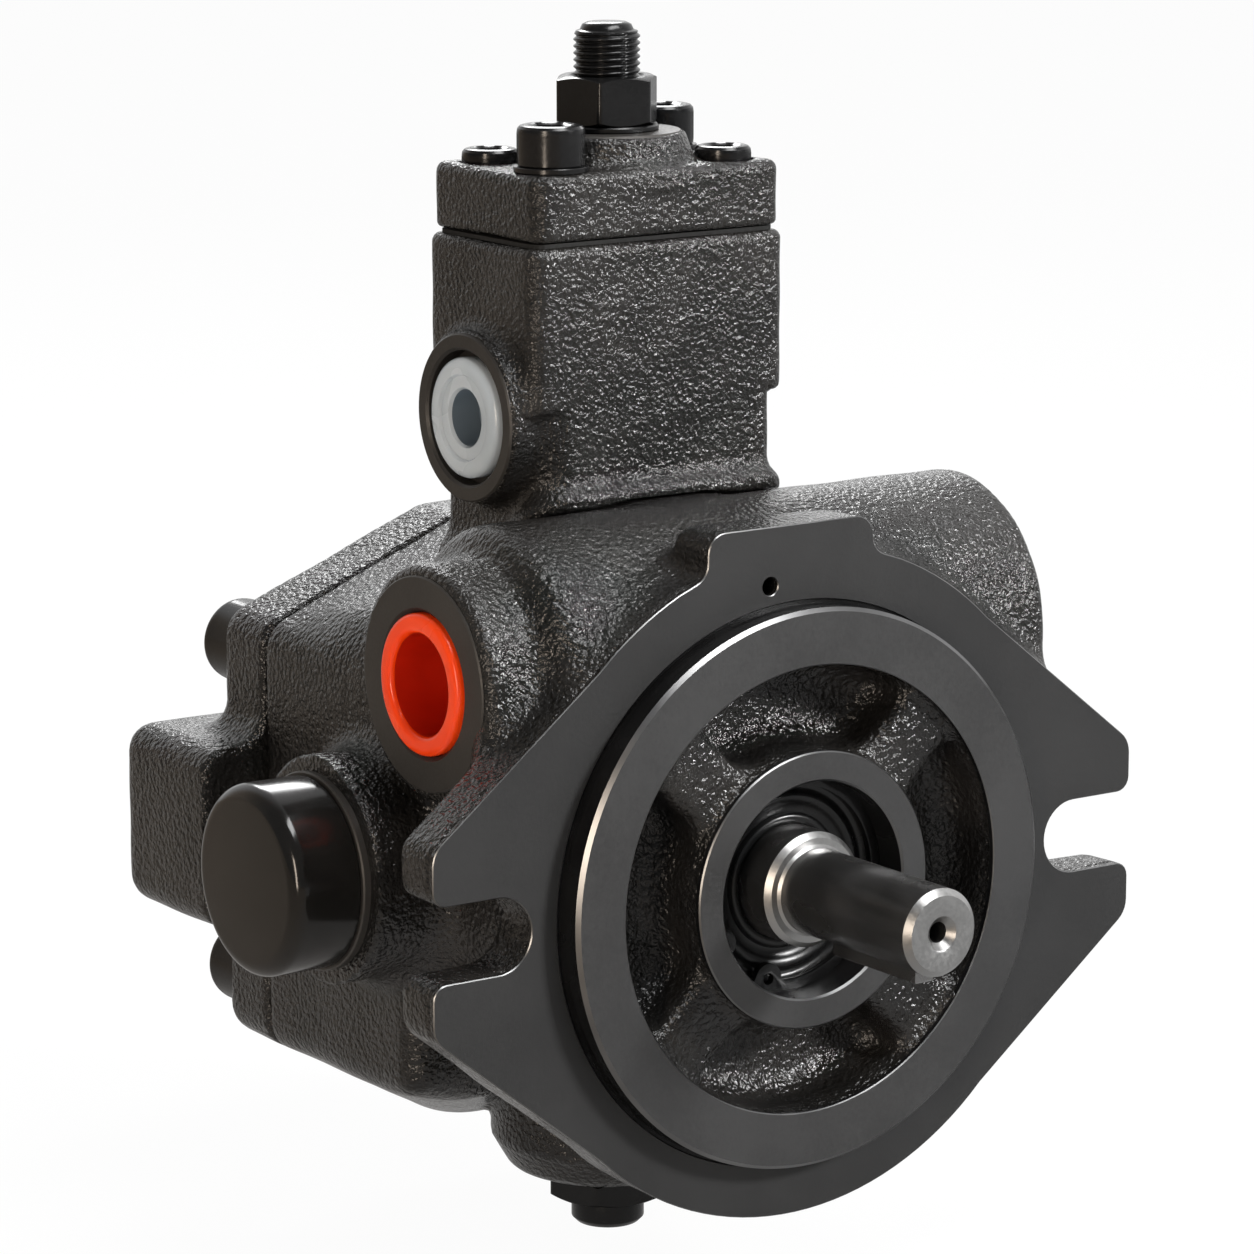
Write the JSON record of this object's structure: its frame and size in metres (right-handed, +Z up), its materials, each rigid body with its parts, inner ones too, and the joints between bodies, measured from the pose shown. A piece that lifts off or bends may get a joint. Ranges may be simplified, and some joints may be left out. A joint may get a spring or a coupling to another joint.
{
  "type": "hydraulic vane pump",
  "caption": "Flange mounted variable displacement vane pump with a spring loaded pressure adjuster on top, side ports and a keyed drive shaft.",
  "frame": {"origin": "centre of the pilot on the flange's mounting face", "axes": "-Y along the shaft towards its tip, +Z up through the pressure adjuster, -X towards the outlet port"},
  "size_m": [0.1265, 0.1403, 0.1843],
  "materials": {
    "cast_black": "black paint over rough cast iron",
    "gasket": "matte fibre",
    "black_steel": "black oxide steel",
    "shaft_steel": "dark ground steel",
    "bright_steel": "ground steel",
    "ring_steel": "ground steel",
    "bronze": "bearing bronze",
    "seal_rubber": "black rubber",
    "cap_plastic": "glossy black plastic",
    "plug_orange": "orange red plastic",
    "plug_clear": "milky translucent plastic"
  },
  "bodies": {
    "casing": {"body": "cast_black", "rear_cover": "cast_black", "spring_housing": "cast_black", "spring_cover": "cast_black", "foot_gasket": "gasket", "cover_gasket": "gasket", "cover_o_ring": "seal_rubber", "front_bearing_outer_race": "bright_steel", "rear_bush": "bronze", "shaft_seal": "seal_rubber", "seal_garter_spring": "bright_steel", "seal_circlip": "black_steel", "front_port_plate": "bronze", "rear_port_plate": "bronze", "plate_dowels": "bright_steel", "long_cover_screws": "black_steel", "short_cover_screws": "black_steel", "cover_screw_washers": "black_steel", "rear_cover_screws": "black_steel"},
    "shaft_line": {"drive_shaft": "shaft_steel", "drive_key": "shaft_steel", "rotor_key": "ring_steel", "shaft_circlips": "black_steel", "front_bearing_inner_race": "bright_steel", "rotor": "ring_steel", "vanes": "ring_steel"},
    "bearing_balls": {"front_bearing_balls": "bright_steel", "front_bearing_cage": "bronze"},
    "control_ring": {"cam_ring": "ring_steel", "pressure_piston": "ring_steel", "pressure_spring": "ring_steel"},
    "spring_seat": {"upper_spring_seat": "ring_steel"},
    "pressure_screw": {"pressure_screw": "black_steel"},
    "pressure_washer": {"pressure_seal_washer": "seal_rubber"},
    "pressure_nut": {"pressure_lock_nut": "black_steel"},
    "flow_pad": {"flow_pad": "bright_steel"},
    "flow_screw": {"flow_screw": "black_steel"},
    "flow_washer": {"flow_seal_washer": "seal_rubber"},
    "flow_nut": {"flow_lock_nut": "black_steel"},
    "thrust_pad": {"thrust_pad": "bright_steel"},
    "thrust_screw": {"thrust_screw": "black_steel"},
    "thrust_washer": {"thrust_seal_washer": "seal_rubber"},
    "thrust_nut": {"thrust_lock_nut": "black_steel"},
    "thrust_cap": {"thrust_cap": "cap_plastic"},
    "outlet_plug": {"outlet_plug": "plug_orange"},
    "drain_plug": {"drain_plug": "plug_clear"},
    "inlet_plug": {"inlet_plug": "plug_orange"}
  },
  "joints": [
    {"name": "shaft_spin", "type": "hinge", "parent": "casing", "child": "shaft_line", "pos_m": [0, 0, 0], "axis": [0, 1, 0], "continuous": true},
    {"name": "bearing_balls_spin", "type": "hinge", "parent": "casing", "child": "bearing_balls", "pos_m": [0, 0.019, 0], "axis": [0, 1, 0], "continuous": true},
    {"name": "control_ring_slide", "type": "slide", "parent": "casing", "child": "control_ring", "axis": [0, 0, 1], "range_m": [0, 0.002], "deforming": ["pressure_spring"]},
    {"name": "spring_seat_slide", "type": "slide", "parent": "casing", "child": "spring_seat", "axis": [0, 0, 1], "range_m": [-0.002, 0.002], "deforming": ["pressure_spring"]},
    {"name": "pressure_screw_turn", "type": "hinge", "parent": "spring_seat", "child": "pressure_screw", "pos_m": [0, 0.0482, 0.11], "axis": [0, 0, 1], "range_deg": [-725, 725]},
    {"name": "pressure_washer_lift", "type": "slide", "parent": "casing", "child": "pressure_washer", "axis": [0, 0, 1], "range_m": [0, 0.002]},
    {"name": "pressure_nut_turn", "type": "hinge", "parent": "pressure_washer", "child": "pressure_nut", "pos_m": [0, 0.0482, 0.11], "axis": [0, 0, 1], "range_deg": [0, 725]},
    {"name": "flow_pad_slide", "type": "slide", "parent": "casing", "child": "flow_pad", "axis": [0, 0, 1], "range_m": [-0.00175, 0]},
    {"name": "flow_screw_turn", "type": "hinge", "parent": "flow_pad", "child": "flow_screw", "pos_m": [0, 0.0482, -0.06], "axis": [0, 0, 1], "range_deg": [-365, 0]},
    {"name": "flow_washer_lift", "type": "slide", "parent": "casing", "child": "flow_washer", "axis": [0, 0, 1], "range_m": [-0.00175, 0]},
    {"name": "flow_nut_turn", "type": "hinge", "parent": "flow_washer", "child": "flow_nut", "pos_m": [0, 0.0482, -0.057], "axis": [0, 0, 1], "range_deg": [-365, 0]},
    {"name": "thrust_pad_slide", "type": "slide", "parent": "casing", "child": "thrust_pad", "axis": [-1, 0, 0], "range_m": [0, 0.000875]},
    {"name": "thrust_screw_turn", "type": "hinge", "parent": "thrust_pad", "child": "thrust_screw", "pos_m": [-0.06, 0.0482, -0.0004], "axis": [-1, 0, 0], "range_deg": [0, 185]},
    {"name": "thrust_washer_lift", "type": "slide", "parent": "casing", "child": "thrust_washer", "axis": [-1, 0, 0], "range_m": [0, 0.00175]},
    {"name": "thrust_nut_turn", "type": "hinge", "parent": "thrust_washer", "child": "thrust_nut", "pos_m": [-0.057, 0.0482, -0.0004], "axis": [-1, 0, 0], "range_deg": [0, 365]},
    {"name": "thrust_cap_pull", "type": "slide", "parent": "casing", "child": "thrust_cap", "axis": [-1, 0, 0], "range_m": [0, 0.04]},
    {"name": "outlet_plug_pull", "type": "slide", "parent": "casing", "child": "outlet_plug", "axis": [-1, 0, 0], "range_m": [0, 0.08]},
    {"name": "drain_plug_pull", "type": "slide", "parent": "casing", "child": "drain_plug", "axis": [-1, 0, 0], "range_m": [0, 0.06]},
    {"name": "inlet_plug_pull", "type": "slide", "parent": "casing", "child": "inlet_plug", "axis": [1, 0, 0], "range_m": [0, 0.08]}
  ],
  "couplings": [
    {"joint": "bearing_balls_spin", "follows": "shaft_spin", "ratio": 0.41},
    {"joint": "pressure_screw_turn", "follows": "spring_seat_slide", "rad_per_m": 6283.2},
    {"joint": "pressure_nut_turn", "follows": "pressure_washer_lift", "rad_per_m": 6283.2},
    {"joint": "flow_screw_turn", "follows": "flow_pad_slide", "rad_per_m": 3590.4},
    {"joint": "flow_nut_turn", "follows": "flow_washer_lift", "rad_per_m": 3590.4},
    {"joint": "thrust_screw_turn", "follows": "thrust_pad_slide", "rad_per_m": 3590.4},
    {"joint": "thrust_nut_turn", "follows": "thrust_washer_lift", "rad_per_m": 3590.4}
  ]
}
